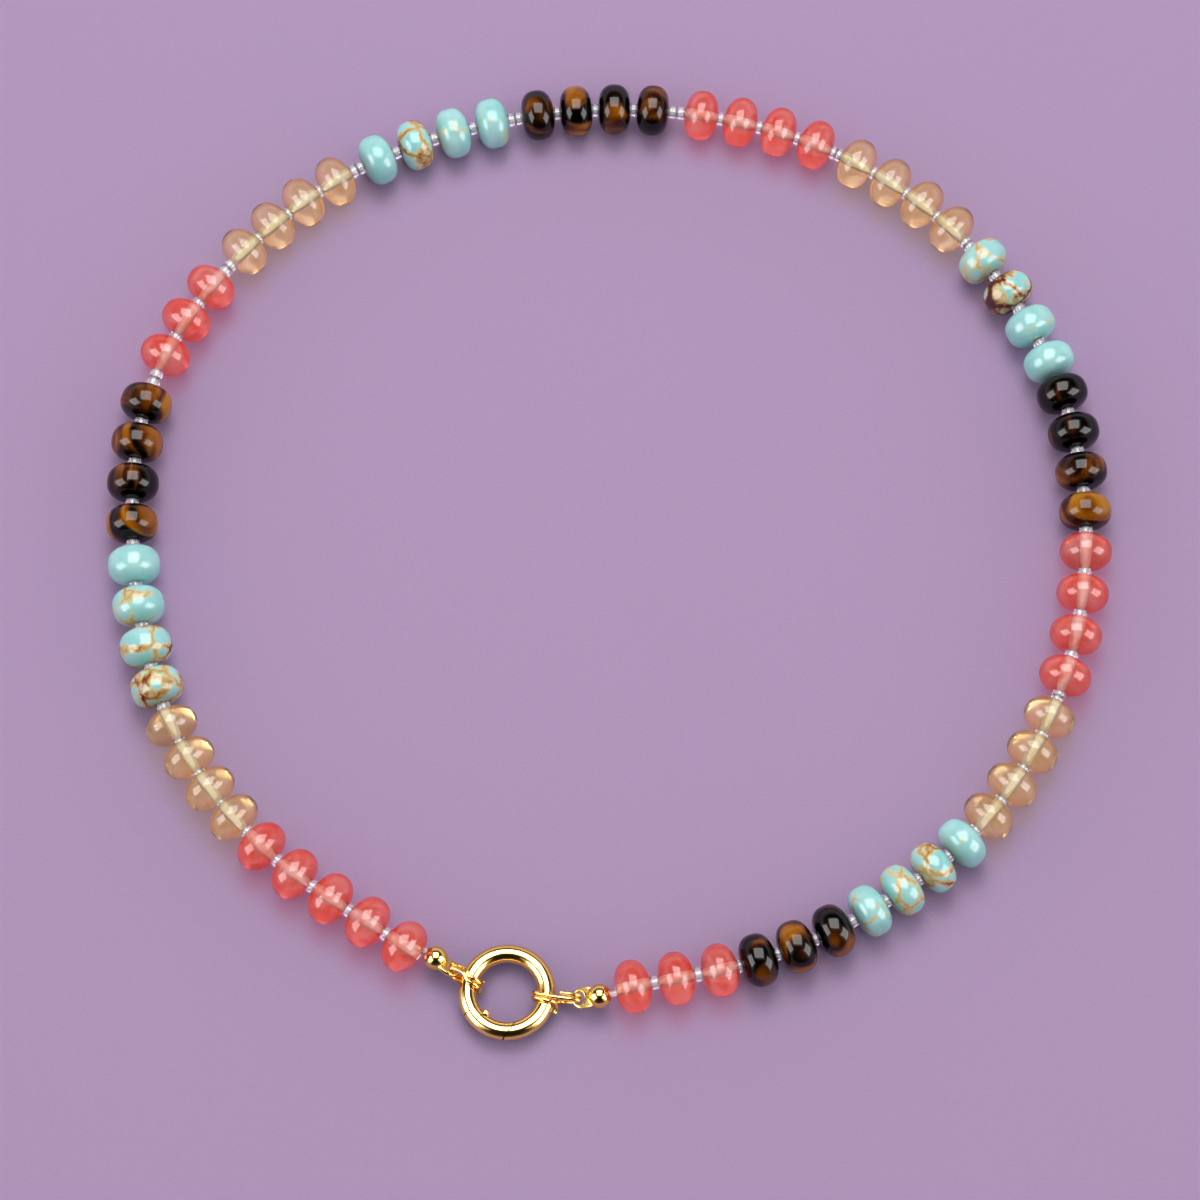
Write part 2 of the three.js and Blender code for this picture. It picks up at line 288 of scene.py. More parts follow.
def turquoise_in_matrix():
    """Aqua turquoise, dyed, pressed with its brown matrix and polished: an even opaque blue-green
    crossed by a broken web with tan borders, whose heart is red-brown where it is thick."""
    material, tree = new_material("turquoise_in_matrix")
    place = add_node(tree, "ShaderNodeAttribute", attribute_name="stone_place").outputs["Vector"]
    share = add_node(tree, "ShaderNodeAttribute", attribute_name="matrix_share").outputs["Fac"]
    # The web's cells are about 4.5 mm across, and noise bends their edges by up to a millimetre.
    bends = add_node(
        tree,
        "ShaderNodeTexNoise",
        {"Vector": place, "Scale": 0.45, "Detail": 3.0, "Roughness": 0.6},
    )
    bent = add_node(
        tree,
        "ShaderNodeVectorMath",
        {0: bends.outputs["Color"], 1: (2.6, 2.6, 2.6), 2: place},
        operation="MULTIPLY_ADD",
    )
    web = add_node(
        tree,
        "ShaderNodeTexVoronoi",
        {"Vector": bent, "Scale": 0.22, "Randomness": 1.0},
        feature="DISTANCE_TO_EDGE",
    )
    # How far a spot is from the web's middle, from 1 there to 0 some 0.7 mm away.
    near = add_node(
        tree, "ShaderNodeMapRange", {"Value": web, "From Max": 0.16, "To Min": 1.0, "To Max": 0.0}
    )
    # Where the web shows: blotches about 5 mm across, as many as the stone's share of matrix.
    blotches = add_node(
        tree,
        "ShaderNodeTexNoise",
        {"Vector": place, "Scale": 0.2, "Detail": 4.0, "Roughness": 0.62},
    )
    shown = add_node(tree, "ShaderNodeMath", {0: blotches, 1: share}, operation="ADD")
    amount = add_node(
        tree, "ShaderNodeMapRange", {"Value": shown, "From Min": 0.62, "From Max": 1.25}
    )
    matrix = add_node(tree, "ShaderNodeMath", {0: near, 1: amount}, operation="MULTIPLY")
    # Thick blotches of matrix, off the web, in the stones that have the most.
    patch = add_node(
        tree,
        "ShaderNodeMapRange",
        {"Value": shown, "From Min": 1.12, "From Max": 1.4, "To Max": 0.8},
    )
    field = add_node(tree, "ShaderNodeMath", {0: matrix, 1: patch}, operation="ADD")
    grit = add_node(
        tree, "ShaderNodeTexNoise", {"Vector": place, "Scale": 2.2, "Detail": 4.0, "Roughness": 0.7}
    )
    rough_field = add_node(
        tree, "ShaderNodeMath", {0: grit, 1: 0.22, 2: field}, operation="MULTIPLY_ADD"
    )
    matrix_tone = add_node(
        tree,
        "ShaderNodeValToRGB",
        {"Fac": rough_field},
        stops=[
            (0.22, "#B4D6B4"),
            (0.32, "#DDD0A0"),
            (0.46, "#D0B478"),
            (0.64, "#C09A5C"),
            (0.8, "#94481E"),
            (1.0, "#4A1A0A"),
        ],
    )
    matrix_there = add_node(
        tree, "ShaderNodeMapRange", {"Value": rough_field, "From Min": 0.2, "From Max": 0.3}
    )
    drift = add_node(
        tree,
        "ShaderNodeTexNoise",
        {"Vector": place, "Scale": 0.32, "Detail": 3.0, "Roughness": 0.55},
    )
    body = add_node(
        tree,
        "ShaderNodeValToRGB",
        {"Fac": drift},
        stops=[(0.3, "#92D6D2"), (0.5, "#A4DEDA"), (0.7, "#B4E5E0")],
    )
    colour = add_node(
        tree, "ShaderNodeMix", {0: matrix_there, 6: body, 7: matrix_tone}, data_type="RGBA"
    )
    # The softer matrix polishes a little lower and duller than the turquoise.
    gloss = add_node(
        tree,
        "ShaderNodeMapRange",
        {"Value": rough_field, "From Min": 0.2, "From Max": 0.9, "To Min": 0.03, "To Max": 0.1},
    )
    low = add_node(
        tree,
        "ShaderNodeBump",
        {"Height": rough_field, "Strength": 0.15, "Distance": 0.0001},
        invert=True,
    )
    shader = add_node(
        tree,
        "ShaderNodeBsdfPrincipled",
        {"Base Color": colour.outputs[2], "Roughness": gloss, "IOR": 1.55, "Normal": low},
    )
    add_node(tree, "ShaderNodeOutputMaterial", {"Surface": shader})
    return material


def polished_tigers_eye():
    """Tiger's eye, polished to a mirror gloss: near-black and chestnut layers, and golden ones of
    silky fibres. Each bead is painted darker towards its bore as painted shade, which leaves a
    painted sheen of its silk round its belt."""
    material, tree = new_material("polished_tigers_eye")
    place = add_node(tree, "ShaderNodeAttribute", attribute_name="stone_place").outputs["Vector"]
    # Each bead's tone, less the painted shade that darkens it towards its bore.
    tone_less_end_shade = add_node(tree, "ShaderNodeAttribute", attribute_name="matrix_share").outputs["Fac"]
    # Layers 1 to 3 mm thick, bent by slow noise.
    bends = add_node(
        tree,
        "ShaderNodeTexNoise",
        {"Vector": place, "Scale": 0.14, "Detail": 1.0, "Roughness": 0.5},
    )
    bent = add_node(
        tree,
        "ShaderNodeVectorMath",
        {0: bends.outputs["Color"], 1: (6.0, 6.0, 6.0), 2: place},
        operation="MULTIPLY_ADD",
    )
    flat = add_node(tree, "ShaderNodeMapping", {"Vector": bent, "Scale": (0.36, 0.08, 0.08)})
    layers = add_node(
        tree, "ShaderNodeTexNoise", {"Vector": flat, "Scale": 1.0, "Detail": 2.0, "Roughness": 0.5}
    )
    strong = add_node(
        tree, "ShaderNodeMapRange", {"Value": layers, "From Min": 0.2, "From Max": 0.8}
    )
    # Fibres 0.1 mm thick, drawn 0.25 mm thick, that run across the layers.
    thin = add_node(tree, "ShaderNodeMapping", {"Vector": place, "Scale": (0.25, 3.6, 3.6)})
    fibres = add_node(
        tree, "ShaderNodeTexNoise", {"Vector": thin, "Scale": 1.0, "Detail": 2.0, "Roughness": 0.5}
    )
    lifted = add_node(tree, "ShaderNodeMath", {0: tone_less_end_shade, 1: strong}, operation="ADD")
    mixed = add_node(
        tree, "ShaderNodeMath", {0: fibres, 1: 0.1, 2: lifted}, operation="MULTIPLY_ADD"
    )
    tone = add_node(
        tree,
        "ShaderNodeValToRGB",
        {"Fac": mixed},
        stops=[
            (0.38, "#040201"),
            (0.46, "#170A02"),
            (0.54, "#431E02"),
            (0.62, "#703A03"),
            (0.72, "#955506"),
            (0.86, "#B07412"),
        ],
    )
    shader = add_node(
        tree,
        "ShaderNodeBsdfPrincipled",
        {"Base Color": tone, "Roughness": 0.04, "IOR": 1.5, "Specular IOR Level": 0.32},
    )
    add_node(tree, "ShaderNodeOutputMaterial", {"Surface": shader})
    return material


def drilled_bore(name, hex_colour, clear):
    """The bore of a stone, drilled with diamond grit and left unpolished: frosted and paler."""
    material, tree = new_material(name)
    place = add_node(tree, "ShaderNodeTexCoord").outputs["Object"]
    # Grit marks 0.1 mm apart, drawn 0.2 mm apart.
    grit = add_node(
        tree,
        "ShaderNodeTexNoise",
        {"Vector": place, "Scale": 5000.0, "Detail": 2.0, "Roughness": 0.6},
    )
    tone = add_node(
        tree, "ShaderNodeMix", {0: grit, 6: linear(hex_colour), 7: WHITE}, data_type="RGBA"
    )
    marks = add_node(tree, "ShaderNodeBump", {"Height": grit, "Strength": 0.3, "Distance": 0.00005})
    shader = add_node(
        tree,
        "ShaderNodeBsdfPrincipled",
        {
            "Base Color": tone.outputs[2],
            "Roughness": 0.35,
            "IOR": 1.52,
            "Transmission Weight": clear,
            "Normal": marks,
        },
    )
    surface = pass_lamp_light(tree, shader, "#F6ECE8") if clear else shader
    add_node(tree, "ShaderNodeOutputMaterial", {"Surface": surface})
    return material


def seed_bead_glass():
    """Clear drawn glass for seed beads: colourless and fire polished, with faint draw lines along
    it.
    Its cut ends and draw lines are painted grey, as painted reflection of the dark room."""
    material, tree = new_material("seed_bead_glass")
    place = add_node(tree, "ShaderNodeAttribute", attribute_name="seed_place").outputs["Vector"]
    along = add_node(tree, "ShaderNodeSeparateXYZ", {"Vector": place}).outputs["Z"]
    end = add_node(tree, "ShaderNodeMath", {0: along}, operation="ABSOLUTE")
    # Draw lines about 0.3 mm apart round the bead.
    drawn = add_node(tree, "ShaderNodeMapping", {"Vector": place, "Scale": (3.3, 3.3, 0.4)})
    lines = add_node(
        tree, "ShaderNodeTexNoise", {"Vector": drawn, "Scale": 1.0, "Detail": 1.0, "Roughness": 0.5}
    )
    # Painted reflection: grey towards the cut ends and along the draw lines.
    grey = add_node(tree, "ShaderNodeMath", {0: lines, 1: -0.5, 2: end}, operation="MULTIPLY_ADD")
    tone = add_node(
        tree,
        "ShaderNodeValToRGB",
        {"Fac": grey},
        stops=[(0.0, "#FFFFFF"), (0.1, "#E4E4E8"), (0.2, "#8C8C94")],
    )
    wavy = add_node(tree, "ShaderNodeBump", {"Height": lines, "Strength": 0.2, "Distance": 0.0001})
    shader = add_node(
        tree,
        "ShaderNodeBsdfPrincipled",
        {
            "Base Color": tone,
            "Roughness": 0.03,
            "IOR": 1.51,
            "Transmission Weight": 0.8,
            "Normal": wavy,
        },
    )
    add_node(
        tree, "ShaderNodeOutputMaterial", {"Surface": pass_lamp_light(tree, shader, "#E4E4E4")}
    )
    return material


def clear_stretch_cord():
    """Extruded clear polyurethane cord: colourless, smooth and slightly cloudy."""
    material, tree = new_material("clear_stretch_cord")
    place = add_node(tree, "ShaderNodeTexCoord").outputs["Object"]
    # Cloudy stretches about 1.5 mm long.
    cloud = add_node(
        tree,
        "ShaderNodeTexNoise",
        {"Vector": place, "Scale": 700.0, "Detail": 2.0, "Roughness": 0.5},
    )
    tone = add_node(
        tree, "ShaderNodeValToRGB", {"Fac": cloud}, stops=[(0.35, "#F0EDEE"), (0.65, "#FFFFFF")]
    )
    softness = add_node(
        tree,
        "ShaderNodeMapRange",
        {"Value": cloud, "From Min": 0.3, "From Max": 0.7, "To Min": 0.08, "To Max": 0.2},
    )
    shader = add_node(
        tree,
        "ShaderNodeBsdfPrincipled",
        {"Base Color": tone, "Roughness": softness, "IOR": 1.5, "Transmission Weight": 0.55},
    )
    add_node(
        tree, "ShaderNodeOutputMaterial", {"Surface": pass_lamp_light(tree, shader, "#E4E4E4")}
    )
    return material


def lilac_card():
    """The surface under the necklace: smooth uncoated lilac card with a very fine tooth."""
    material, tree = new_material("lilac_card")
    place = add_node(tree, "ShaderNodeTexCoord").outputs["Object"]
    # Tooth about 0.3 mm across.
    tooth = add_node(
        tree,
        "ShaderNodeTexNoise",
        {"Vector": place, "Scale": 3000.0, "Detail": 2.0, "Roughness": 0.6},
    )
    tone = add_node(
        tree, "ShaderNodeValToRGB", {"Fac": tooth}, stops=[(0.25, "#A68BAF"), (0.75, "#AD92B6")]
    )
    # Painted light: the card's colour is painted 1.8 times brighter where it is seen through the
    # clear stones, as a painted pool of the lamps' light that they gather on it.
    path = add_node(tree, "ShaderNodeLightPath")
    gathered = add_node(
        tree,
        "ShaderNodeMapRange",
        {"Value": path.outputs["Is Transmission Ray"], "To Min": 1.0, "To Max": 1.8},
    )
    lit = add_node(tree, "ShaderNodeVectorMath", {0: tone, "Scale": gathered}, operation="SCALE")
    shader = add_node(
        tree,
        "ShaderNodeBsdfPrincipled",
        {"Base Color": lit, "Roughness": 0.75, "Specular IOR Level": 0.2},
    )
    add_node(tree, "ShaderNodeOutputMaterial", {"Surface": shader})
    return material


# ---- Modelling helpers ----


def start_fresh():
    if bpy.context.object and bpy.context.object.mode != "OBJECT":
        bpy.ops.object.mode_set(mode="OBJECT")
    bpy.ops.object.select_all(action="DESELECT")


def select_only(*pieces):
    start_fresh()
    for piece in pieces:
        piece.select_set(True)
    bpy.context.view_layer.objects.active = pieces[0]


def edit(piece, mode):
    """Opens a piece for editing by VERT, EDGE or FACE, with nothing selected."""
    select_only(piece)
    bpy.ops.object.mode_set(mode="EDIT")
    bpy.ops.mesh.select_all(action="DESELECT")
    bpy.ops.mesh.select_mode(type=mode)


def select_faces(piece, wanted):
    """In edit mode, selects the faces whose middle and normal pass the test."""
    mesh = bmesh.from_edit_mesh(piece.data)
    for face in mesh.faces:
        face.select_set(wanted(face.calc_center_median(), face.normal))
    bmesh.update_edit_mesh(piece.data)


def select_edges(piece, wanted):
    """In edit mode, selects the edges whose two ends pass the test."""
    mesh = bmesh.from_edit_mesh(piece.data)
    for edge in mesh.edges:
        edge.select_set(wanted(edge.verts[0].co, edge.verts[1].co))
    bmesh.update_edit_mesh(piece.data)


def apply_modifier(piece, kind, **settings):
    modifier = piece.modifiers.new(kind.lower(), kind)
    for name, value in settings.items():
        setattr(modifier, name, value)
    select_only(piece)
    bpy.ops.object.modifier_apply(modifier=modifier.name)


def cut(piece, cutter, operation="DIFFERENCE"):
    """Cuts a piece with another one, joins the two or keeps what they share."""
    apply_modifier(piece, "BOOLEAN", operation=operation, object=cutter, solver="EXACT")
    bpy.data.objects.remove(cutter)


def hold_shape(piece):
    """Puts a piece's place, turn and scale in its mesh."""
    select_only(piece)
    bpy.ops.object.transform_apply(location=True, rotation=True, scale=True)


def set_in_place(piece, place=Matrix()):
    """Brings a piece from millimetres to its place in metres, with the place in its mesh."""
    select_only(piece)
    piece.matrix_world = Matrix.Scale(MILLIMETRE, 4) @ place @ piece.matrix_world
    hold_shape(piece)


def copy_of(master):
    piece = master.copy()
    piece.data = master.data.copy()
    bpy.context.collection.objects.link(piece)
    return piece


def join(name, pieces):
    select_only(*pieces)
    bpy.ops.object.join()
    joined = bpy.context.object
    joined.name = joined.data.name = name
    return joined


# ---- The way of the string ----

# The points the string passes through and the runs of beads on it, in millimetres. Along the
# string, a run has one bead every pitch, and one length from its last bead to the next run's first.
STRING_POINTS = [
    (-30.1, -63.8), (-51.6, -48.4), (-65.6, -29.6), (-72.3, -3.9), (-71.5, 22.8), (-62.2, 42.4),
    (-43.0, 60.9), (-18.4, 71.0), (7.1, 73.3), (33.1, 67.1), (54.0, 52.5), (68.4, 29.9),
    (73.0, 4.8), (68.8, -21.9), (56.5, -43.8), (38.5, -58.4), (21.9, -65.9), (3.0, -70.0),
]  # fmt: skip
STRING_HEIGHT = 4.0
RUNS = [  # stone, beads, thickness, pitch, to the next run
    ("coral", 5, 5.4, 6.6, 6.2),
    ("citrine", 4, 5.1, 5.8, 6.6),
    ("turquoise", 4, 5.6, 6.7, 6.8),
    ("tigers_eye", 4, 5.5, 6.7, 8.5),
    ("coral", 3, 5.5, 6.7, 8.0),
    ("citrine", 4, 5.3, 6.2, 7.6),
    ("turquoise", 4, 5.0, 6.4, 7.4),
    ("tigers_eye", 4, 5.1, 6.1, 7.8),
    ("coral", 4, 5.2, 6.3, 7.2),
    ("citrine", 4, 5.3, 6.2, 7.3),
    ("turquoise", 4, 5.2, 6.6, 5.7),
    ("tigers_eye", 4, 5.3, 6.6, 6.6),
    ("coral", 4, 5.4, 6.8, 7.1),
    ("citrine", 4, 5.2, 6.1, 5.9),
    ("turquoise", 4, 4.8, 5.8, 6.2),
    ("tigers_eye", 3, 5.2, 6.0, 5.9),
    ("coral", 3, 5.2, 6.5, 3.3),
]
BEAD_RADIUS = 4.0
BORE_RADIUS = 0.6
RONDELLE_DEPTH = 6.75
CORD_RADIUS = 0.42
SEED_RADIUS = 1.1
SEED_BORE = 0.5
SEED_SIDES = 20
SEED_ROUNDING = 0.25
SEED_CLEARANCE = 0.04
WIDE_GAP = 1.7
# Painted shade: how much darker a tiger's eye is painted where its bore comes out.
PAINTED_BORE_SHADE = 0.3
BEAD_SIDES = 48
BEAD_STEPS = 12
# Half the width of the flat belt left at a bead's widest line.
BELT_HALF = 0.02
# How full a bead's rounded rims are: 0.5 is an even round, and more is nearer to a barrel.
FULLNESS = {"coral": 0.525, "citrine": 0.52, "turquoise": 0.58, "tigers_eye": 0.56}


def smooth_way(points, per_span):
    """Points on the smooth curve through the given ones (a centripetal Catmull-Rom spline)."""
    points = [Vector(point) for point in points]
    points = [2 * points[0] - points[1], *points, 2 * points[-1] - points[-2]]
    way = []
    for k in range(1, len(points) - 2):
        a, b, c, d = points[k - 1 : k + 3]
        first, middle, last = [math.sqrt((q - p).length) for p, q in ((a, b), (b, c), (c, d))]
        leaving = ((b - a) / first - (c - a) / (first + middle) + (c - b) / middle) * middle
        arriving = ((c - b) / middle - (d - b) / (middle + last) + (d - c) / last) * middle
        for step in range(per_span):
            t = step / per_span
            way.append(
                b
                + leaving * t
                + (3 * (c - b) - 2 * leaving - arriving) * t**2
                + (2 * (b - c) + leaving + arriving) * t**3
            )
    way.append(points[-2])
    return way


class String:
    """The string's line on the necklace, and its place and direction at a length along it."""

    def __init__(self):
        rest = frame["record"]["mounts"][0]["pos_m"]
        first = STRING_POINTS[0]
        shift = Vector((rest[0] / MILLIMETRE - first[0], rest[1] / MILLIMETRE - first[1], 0))
        points = [(x, y, STRING_HEIGHT) for x, y in STRING_POINTS]
        self.way = [p + shift for p in smooth_way(points, 120)]
        self.lengths = [0.0]
        for p, q in zip(self.way, self.way[1:]):
            self.lengths.append(self.lengths[-1] + (q - p).length)

    def at(self, length):
        """The place at a length along the string, and the direction there."""
        k = min(max(bisect.bisect_right(self.lengths, length) - 1, 0), len(self.way) - 2)
        p, q = self.way[k], self.way[k + 1]
        share = (length - self.lengths[k]) / (self.lengths[k + 1] - self.lengths[k])
        return p + (q - p) * share, (q - p).normalized()

    def stand(self, length):
        """The place of a bead on the string: its bore lies along the string, its X points up."""
        middle, along = self.at(length)
        up = Vector((0, 0, 1))
        side = along.cross(up)
        turn = Matrix((up, side, along)).transposed().to_4x4()
        return Matrix.Translation(middle) @ turn


# ---- Beads ----


def drill(piece, rim):
    """Drills through a cylinder and leaves a rim this wide on its ends. It stays open for editing
    by EDGE, with nothing selected."""
    edit(piece, "FACE")
    select_faces(piece, lambda middle, normal: abs(normal.z) > 0.9)
    bpy.ops.mesh.inset(thickness=rim)
    bpy.ops.mesh.bridge_edge_loops()
    bpy.ops.mesh.select_all(action="DESELECT")
    bpy.ops.mesh.select_mode(type="EDGE")


def select_rims(piece, beyond):
    """In edit mode, selects the edges round a cylinder's ends that lie beyond this radius."""
    select_edges(
        piece, lambda p, q: min(p.xy.length, q.xy.length) > beyond and abs(p.z - q.z) < 1e-4
    )


def make_rondelle(fullness):
    """A rondelle 8 mm across and drilled through, with its rims rounded over from its widest line
    to its bore, fully or less so. It is flattened to its run's thickness when it is strung."""
    start_fresh()
    bpy.ops.mesh.primitive_cylinder_add(
        vertices=BEAD_SIDES, radius=BEAD_RADIUS, depth=RONDELLE_DEPTH
    )
    bead = bpy.context.object
    drill(bead, (BEAD_RADIUS - BORE_RADIUS) * math.cos(math.pi / BEAD_SIDES))
    select_rims(bead, 0.99 * BEAD_RADIUS)
    bpy.ops.mesh.bevel(
        offset=RONDELLE_DEPTH / 2 - BELT_HALF, segments=BEAD_STEPS, profile=fullness, affect="EDGES"
    )
    bpy.ops.mesh.select_mode(type="FACE")
    select_faces(
        bead, lambda middle, normal: middle.xy.length < BORE_RADIUS + 0.02 and abs(normal.z) < 0.3
    )
    bead.data.materials.append(None)
    bead.data.materials.append(None)
    bpy.context.object.active_material_index = 1
    bpy.ops.object.material_slot_assign()
    bpy.ops.object.mode_set(mode="OBJECT")
    bpy.ops.object.shade_smooth_by_angle(angle=math.radians(45))
    return bead


# How much matrix each turquoise shows and how brightly each tiger's eye glows, run by run.
SHARES = {
    "turquoise": [
        (0.5, 0.48, 0.30, -0.1), (0.06, 0.56, 0.22, 0.18), (0.3, 0.70, 0.14, 0.06),
        (0.06, 0.45, 0.36, 0.16),
    ],
    "tigers_eye": [
        (0.04, 0.05, 0.04, 0.1), (-0.09, 0.08, -0.13, -0.03), (-0.06, -0.06, 0.03, 0.08),
        (-0.12, 0.05, -0.05),
    ],
}  # fmt: skip


def stone_plan(stone, run, k):
    """A stone's share, its turn about its bore, and where it was cut from the rough."""
    offset = Vector((chance.uniform(-50, 50), chance.uniform(-50, 50), chance.uniform(-50, 50)))
    share = SHARES[stone][run - 1][k] if stone in SHARES else 0.0
    return share, chance.uniform(0, 2 * math.pi), offset


def string_runs(string, finishes, bores, masters):
    """Strings the beads, and gives back the places and lengths of the gaps between them."""
    gaps = []
    length = 0.0
    counted = {}
    end_of_last = None
    for stone, beads, thickness, pitch, to_next in RUNS:
        counted[stone] = counted.get(stone, 0) + 1
        run_name = f"{stone}_beads_{counted[stone]}"
        run = []
        for k in range(beads):
            if end_of_last is not None:
                gaps.append((end_of_last, length - thickness / 2))
            bead = copy_of(masters[stone])
            bead.data.materials[0] = finishes[stone]
            bead.data.materials[1] = bores[stone]
            share, spin, offset = stone_plan(stone, counted[stone], k)
            flat = Matrix.Diagonal((1.0, 1.0, thickness / RONDELLE_DEPTH, 1.0))
            turn = Matrix.Rotation(spin, 4, "Z")
            bead.data.transform(flat)
            bead.data.attributes.new("stone_place", "FLOAT_VECTOR", "POINT")
            bead.data.attributes.new("matrix_share", "FLOAT", "POINT")
            places = bead.data.attributes["stone_place"]
            shares = bead.data.attributes["matrix_share"]
            for j, vertex in enumerate(bead.data.vertices):
                places.data[j].vector = turn @ vertex.co + offset
                # Painted shade: a tiger's eye is painted darker towards where its bore comes out.
                end = abs(vertex.co.z) / (thickness / 2)
                painted_end_shade = PAINTED_BORE_SHADE * end**4 if stone == "tigers_eye" else 0.0
                shares.data[j].value = share - painted_end_shade
            set_in_place(bead, string.stand(length))
            run.append(bead)
            end_of_last = length + thickness / 2
            length += pitch if k < beads - 1 else to_next
        piece = join(f"{stone}_run_{counted[stone]}", run)
        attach(piece, "strand")
        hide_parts(run_name)
    return gaps


def make_seed_bead():
    """A clear seed bead 1 mm long: a short tube with its rims fire polished round."""
    start_fresh()
    bpy.ops.mesh.primitive_cylinder_add(vertices=SEED_SIDES, radius=SEED_RADIUS, depth=1.0)
    seed = bpy.context.object
    drill(seed, SEED_RADIUS - SEED_BORE)
    select_rims(seed, 0.9 * SEED_RADIUS)
    bpy.ops.mesh.bevel(offset=SEED_ROUNDING, segments=3, affect="EDGES")
    bpy.ops.object.mode_set(mode="OBJECT")
    bpy.ops.object.shade_smooth_by_angle(angle=math.radians(50))
    return seed


def fill_gaps(string, gaps, glass):
    """One seed bead in a narrow gap between two stones, two in a wide one."""
    master = make_seed_bead()
    seeds = []
    for start, end in gaps:
        room = end - start
        count = 1 if room < WIDE_GAP else 2
        long = (room - SEED_CLEARANCE * (count + 1)) / count
        for k in range(count):
            middle = start + SEED_CLEARANCE + long / 2 + k * (long + SEED_CLEARANCE)
            seed = copy_of(master)
            width = chance.uniform(0.94, 1.0)
            places = seed.data.attributes.new("seed_place", "FLOAT_VECTOR", "POINT")
            for j, vertex in enumerate(seed.data.vertices):
                places.data[j].vector = vertex.co
            seed.data.transform(Matrix.Diagonal((width, width, long, 1.0)))
            set_in_place(seed, string.stand(middle))
            seeds.append(seed)
    bpy.data.objects.remove(master)
    piece = join("seed_beads", seeds)
    piece.data.materials.clear()
    piece.data.materials.append(glass)
    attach(piece, "strand")


def wire(name, way, radius, sides, round_ends=False):
    """A round wire along a way, closed at both ends, as a mesh in millimetres."""
    curve = bpy.data.curves.new(name, "CURVE")
    curve.dimensions = "3D"
    curve.bevel_depth = radius
    curve.bevel_resolution = sides
    curve.use_fill_caps = True
    spline = curve.splines.new("POLY")
    spline.points.add(len(way) - 1)
    for point, place in zip(spline.points, way):
        point.co = (*place, 1.0)
    if round_ends:
        for k, share in enumerate((0.45, 0.8, 0.95)):
            spline.points[k].radius = spline.points[-1 - k].radius = share
    start_fresh()
    piece = bpy.data.objects.new(name, curve)
    bpy.context.collection.objects.link(piece)
    select_only(piece)
    bpy.ops.object.convert(target="MESH")
    piece = bpy.context.object
    bpy.ops.object.shade_smooth_by_angle(angle=math.radians(50))
    return piece


# ---- The clasp, in its own frame: the ring's middle is the origin ----

RING_RADIUS = 5.85
TUBE_RADIUS = 1.35
SEAM = 0.15
TONGUE_ANGLE = math.radians(208.5)
HINGE_ANGLE = math.radians(224.5)
PAST_TIP = math.radians(330)
LAP_RADIUS = 6.15
GATE_REACH = 4.8
BULGE = 0.3
PAST_RING = 9.0
VENT_RADIUS = 0.11
VENT_REACH = 6.8
VENT_ANGLE = math.radians(69.6)
PIN_RADIUS = 0.18
PIN_HOLE_RADIUS = 0.3
KNUCKLE_RADIUS = 0.5
KNUCKLE_HALF = 0.3
EAR_TOP = 0.85


def ring_middle():
    low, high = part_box("clasp_ring")
    return (Vector(low) + Vector(high)) / 2 / MILLIMETRE


def pin_place():
    joint = next(j for j in frame["record"]["behaviour"]["joints"] if j["name"] == "gate_hinge")
    return Vector(joint["pos_m"]) / MILLIMETRE - ring_middle()


def post(radius, low, high, middle=Vector((0, 0, 0)), sides=48):
    """An upright round post."""
    start_fresh()
    bpy.ops.mesh.primitive_cylinder_add(
        vertices=sides,
        radius=radius,
        depth=high - low,
        location=(middle.x, middle.y, (low + high) / 2),
    )
    return bpy.context.object


def sector(radius, start, end):
    """A wedge of a thick disc about the ring's axis, between two angles less than 180 apart."""
    wedge = post(radius, -2, 2, sides=96)
    edit(wedge, "VERT")
    for angle, keep_beyond in ((start, True), (end, False)):
        bpy.ops.mesh.select_all(action="SELECT")
        across = (-math.sin(angle), math.cos(angle), 0)
        bpy.ops.mesh.bisect(
            plane_co=(0, 0, 0),
            plane_no=across,
            use_fill=True,
            clear_inner=keep_beyond,
            clear_outer=not keep_beyond,
        )
    bpy.ops.object.mode_set(mode="OBJECT")
    return wedge


def gate_zone(clear):
    """The gate's plan: its outer half starts further back than its inner half, in a lap."""
    turn = clear / RING_RADIUS
    outer = sector(PAST_RING, TONGUE_ANGLE + turn, PAST_TIP)
    cut(outer, post(LAP_RADIUS + clear, -3, 3, sides=192))
    cut(outer, sector(PAST_RING, HINGE_ANGLE + turn, PAST_TIP), "UNION")
    return outer


def gate_reach(clear):
    """All within the gate's reach of its pin, a little less at the tube's top and bottom."""
    reach = post(GATE_REACH + clear - BULGE, -TUBE_RADIUS, TUBE_RADIUS, pin_place(), sides=144)
    bulge(reach, clear)
    return reach


def bulge(reach, clear):
    """Rounds the reach's wall outwards, most at its middle height."""
    edit(reach, "EDGE")
    select_edges(reach, lambda p, q: abs(p.z - q.z) > 1.0)
    bpy.ops.mesh.subdivide(number_cuts=7)
    bpy.ops.object.mode_set(mode="OBJECT")
    for vertex in reach.data.vertices:
        share = vertex.co.z / TUBE_RADIUS
        out = Vector((vertex.co.x, vertex.co.y, 0))
        if out.length > 1.0:
            vertex.co.xy = out.xy.normalized() * (GATE_REACH + clear - BULGE * share * share)


def make_tube():
    start_fresh()
    bpy.ops.mesh.primitive_torus_add(
        major_radius=RING_RADIUS, minor_radius=TUBE_RADIUS, major_segments=160, minor_segments=48
    )
    return bpy.context.object


def finish_metal(piece, gold, place=Matrix()):
    """Sets a metal piece in its place by the clasp and gives it its finish."""
    set_in_place(piece, Matrix.Translation(ring_middle()) @ place)
    select_only(piece)
    bpy.ops.object.shade_smooth_by_angle(angle=math.radians(35))
    piece.data.materials.clear()
    piece.data.materials.append(gold)


